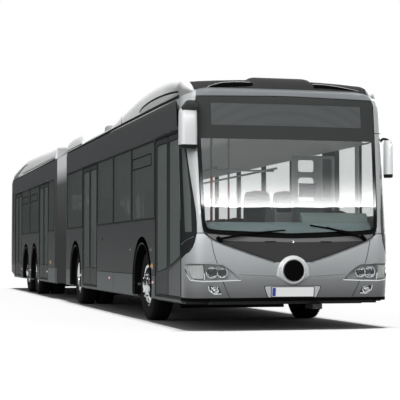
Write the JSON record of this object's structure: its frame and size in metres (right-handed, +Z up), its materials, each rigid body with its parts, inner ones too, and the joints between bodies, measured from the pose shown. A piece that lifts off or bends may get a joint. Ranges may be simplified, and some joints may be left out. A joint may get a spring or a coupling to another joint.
{
  "type": "articulated city bus",
  "caption": "Low-floor articulated city bus with twin-leaf inward doors, steered first and last axles, free-rolling wheels and a pivot inside folding bellows.",
  "frame": {"origin": "on the ground at the middle of the overall length and width", "axes": "+X forward along the straight bus, +Y to the driver's left, +Z up"},
  "size_m": [19.54, 2.75, 3.16],
  "materials": {
    "tyre": "moulded rubber",
    "wheel_chrome": "bright",
    "chassis_iron": "painted",
    "door_glass": "dark frame and tinted pane",
    "body_charcoal": "semi-gloss charcoal",
    "roof_grey": "satin light grey",
    "roof_white": "gloss white",
    "nose_silver": "metallic silver",
    "pillar_white": "gloss white",
    "tinted_glass": "grey-green tint",
    "lamp_clear": "clear polycarbonate",
    "lamp_red": "red polycarbonate",
    "trim_black": "moulded",
    "seat_fabric": "woven",
    "rail_red": "powder coat",
    "floor_grey": "vinyl sheet",
    "bellows_rubber": "coated cloth",
    "engine_iron": "painted",
    "sign_black": "blank display",
    "interior_grey": "moulded"
  },
  "bodies": {
    "front_section": {"front_floor": "floor_grey", "front_side_right": "body_charcoal", "front_side_left": "body_charcoal", "front_roof": "roof_grey", "front_mask": "nose_silver", "screen_frame": "pillar_white", "front_glazing": "tinted_glass", "windscreen": "tinted_glass", "headlamps": "lamp_clear", "wipers": "trim_black", "mirrors": "trim_black", "destination_signs": "sign_black", "dashboard": "interior_grey", "partition": "interior_grey", "front_seats": "seat_fabric", "front_rails": "rail_red", "front_roof_units": "roof_white", "front_axle_beams": "chassis_iron", "bellows": "bellows_rubber"},
    "rear_section": {"rear_floor": "floor_grey", "rear_side_right": "body_charcoal", "rear_side_left": "body_charcoal", "rear_roof": "roof_grey", "rear_end": "body_charcoal", "rear_glazing": "tinted_glass", "tail_lamps": "lamp_red", "rear_seats": "seat_fabric", "rear_rails": "rail_red", "rear_roof_units": "roof_white", "rear_axle_beams": "chassis_iron", "engine": "engine_iron"},
    "knuckle_1_left": {"knuckle_1_left": "chassis_iron"},
    "wheel_1_left": {"tyre_1_left": "tyre", "rim_1_left": "wheel_chrome"},
    "knuckle_1_right": {"knuckle_1_right": "chassis_iron"},
    "wheel_1_right": {"tyre_1_right": "tyre", "rim_1_right": "wheel_chrome"},
    "wheel_2_left": {"tyre_2_left": "tyre", "rim_2_left": "wheel_chrome"},
    "wheel_2_right": {"tyre_2_right": "tyre", "rim_2_right": "wheel_chrome"},
    "wheel_3_left": {"tyre_3_left": "tyre", "rim_3_left": "wheel_chrome"},
    "wheel_3_right": {"tyre_3_right": "tyre", "rim_3_right": "wheel_chrome"},
    "knuckle_4_left": {"knuckle_4_left": "chassis_iron"},
    "wheel_4_left": {"tyre_4_left": "tyre", "rim_4_left": "wheel_chrome"},
    "knuckle_4_right": {"knuckle_4_right": "chassis_iron"},
    "wheel_4_right": {"tyre_4_right": "tyre", "rim_4_right": "wheel_chrome"},
    "steering_wheel": {"steering_wheel": "interior_grey"},
    "door_1_front": {"door_1_front": "door_glass"},
    "door_1_rear": {"door_1_rear": "door_glass"},
    "door_2_front": {"door_2_front": "door_glass"},
    "door_2_rear": {"door_2_rear": "door_glass"},
    "door_3_front": {"door_3_front": "door_glass"},
    "door_3_rear": {"door_3_rear": "door_glass"},
    "door_4_front": {"door_4_front": "door_glass"},
    "door_4_rear": {"door_4_rear": "door_glass"}
  },
  "joints": [
    {"name": "articulation", "type": "hinge", "parent": "front_section", "child": "rear_section", "pos_m": [-0.715, 0, 0.28], "axis": [0, 0, 1], "range_deg": [-50, 50], "deforming": ["bellows"]},
    {"name": "steer_1_left", "type": "hinge", "parent": "front_section", "child": "knuckle_1_left", "pos_m": [7.065, 0.93, 0.478], "axis": [0, 0, 1], "range_deg": [-45, 45]},
    {"name": "roll_1_left", "type": "hinge", "parent": "knuckle_1_left", "child": "wheel_1_left", "pos_m": [7.065, 1.0625, 0.478], "axis": [0, 1, 0], "continuous": true},
    {"name": "steer_1_right", "type": "hinge", "parent": "front_section", "child": "knuckle_1_right", "pos_m": [7.065, -0.93, 0.478], "axis": [0, 0, 1], "range_deg": [-45, 45]},
    {"name": "roll_1_right", "type": "hinge", "parent": "knuckle_1_right", "child": "wheel_1_right", "pos_m": [7.065, -1.0625, 0.478], "axis": [0, 1, 0], "continuous": true},
    {"name": "roll_2_left", "type": "hinge", "parent": "front_section", "child": "wheel_2_left", "pos_m": [1.165, 1.0625, 0.478], "axis": [0, 1, 0], "continuous": true},
    {"name": "roll_2_right", "type": "hinge", "parent": "front_section", "child": "wheel_2_right", "pos_m": [1.165, -1.0625, 0.478], "axis": [0, 1, 0], "continuous": true},
    {"name": "roll_3_left", "type": "hinge", "parent": "rear_section", "child": "wheel_3_left", "pos_m": [-4.825, 1.0625, 0.478], "axis": [0, 1, 0], "continuous": true},
    {"name": "roll_3_right", "type": "hinge", "parent": "rear_section", "child": "wheel_3_right", "pos_m": [-4.825, -1.0625, 0.478], "axis": [0, 1, 0], "continuous": true},
    {"name": "steer_4_left", "type": "hinge", "parent": "rear_section", "child": "knuckle_4_left", "pos_m": [-6.425, 0.93, 0.478], "axis": [0, 0, 1], "range_deg": [-15, 15]},
    {"name": "roll_4_left", "type": "hinge", "parent": "knuckle_4_left", "child": "wheel_4_left", "pos_m": [-6.425, 1.0625, 0.478], "axis": [0, 1, 0], "continuous": true},
    {"name": "steer_4_right", "type": "hinge", "parent": "rear_section", "child": "knuckle_4_right", "pos_m": [-6.425, -0.93, 0.478], "axis": [0, 0, 1], "range_deg": [-15, 15]},
    {"name": "roll_4_right", "type": "hinge", "parent": "knuckle_4_right", "child": "wheel_4_right", "pos_m": [-6.425, -1.0625, 0.478], "axis": [0, 1, 0], "continuous": true},
    {"name": "steering_wheel_turn", "type": "hinge", "parent": "front_section", "child": "steering_wheel", "pos_m": [9.155, 0.7, 1.33], "axis": [-0.4695, 0, 0.8829], "range_deg": [-810, 810]},
    {"name": "door_1_front_swing", "type": "hinge", "parent": "front_section", "child": "door_1_front", "pos_m": [9.337, -1.228, 1.38], "axis": [0, 0, 1], "range_deg": [-90, 0]},
    {"name": "door_1_rear_swing", "type": "hinge", "parent": "front_section", "child": "door_1_rear", "pos_m": [7.923, -1.228, 1.38], "axis": [0, 0, 1], "range_deg": [0, 90]},
    {"name": "door_2_front_swing", "type": "hinge", "parent": "front_section", "child": "door_2_front", "pos_m": [3.427, -1.228, 1.38], "axis": [0, 0, 1], "range_deg": [-90, 0]},
    {"name": "door_2_rear_swing", "type": "hinge", "parent": "front_section", "child": "door_2_rear", "pos_m": [2.013, -1.228, 1.38], "axis": [0, 0, 1], "range_deg": [0, 90]},
    {"name": "door_3_front_swing", "type": "hinge", "parent": "rear_section", "child": "door_3_front", "pos_m": [-2.543, -1.228, 1.38], "axis": [0, 0, 1], "range_deg": [-90, 0]},
    {"name": "door_3_rear_swing", "type": "hinge", "parent": "rear_section", "child": "door_3_rear", "pos_m": [-3.957, -1.228, 1.38], "axis": [0, 0, 1], "range_deg": [0, 90]},
    {"name": "door_4_front_swing", "type": "hinge", "parent": "rear_section", "child": "door_4_front", "pos_m": [-7.298, -1.228, 1.38], "axis": [0, 0, 1], "range_deg": [-90, 0]},
    {"name": "door_4_rear_swing", "type": "hinge", "parent": "rear_section", "child": "door_4_rear", "pos_m": [-8.712, -1.228, 1.38], "axis": [0, 0, 1], "range_deg": [0, 90]}
  ],
  "couplings": [
    {"joint": "steer_1_right", "follows": "steer_1_left", "ratio": 1},
    {"joint": "steer_4_left", "follows": "articulation", "ratio": 0.28},
    {"joint": "steer_4_right", "follows": "articulation", "ratio": 0.28},
    {"joint": "steering_wheel_turn", "follows": "steer_1_left", "ratio": 18},
    {"joint": "door_1_rear_swing", "follows": "door_1_front_swing", "ratio": -1},
    {"joint": "door_2_rear_swing", "follows": "door_2_front_swing", "ratio": -1},
    {"joint": "door_3_rear_swing", "follows": "door_3_front_swing", "ratio": -1},
    {"joint": "door_4_rear_swing", "follows": "door_4_front_swing", "ratio": -1}
  ]
}
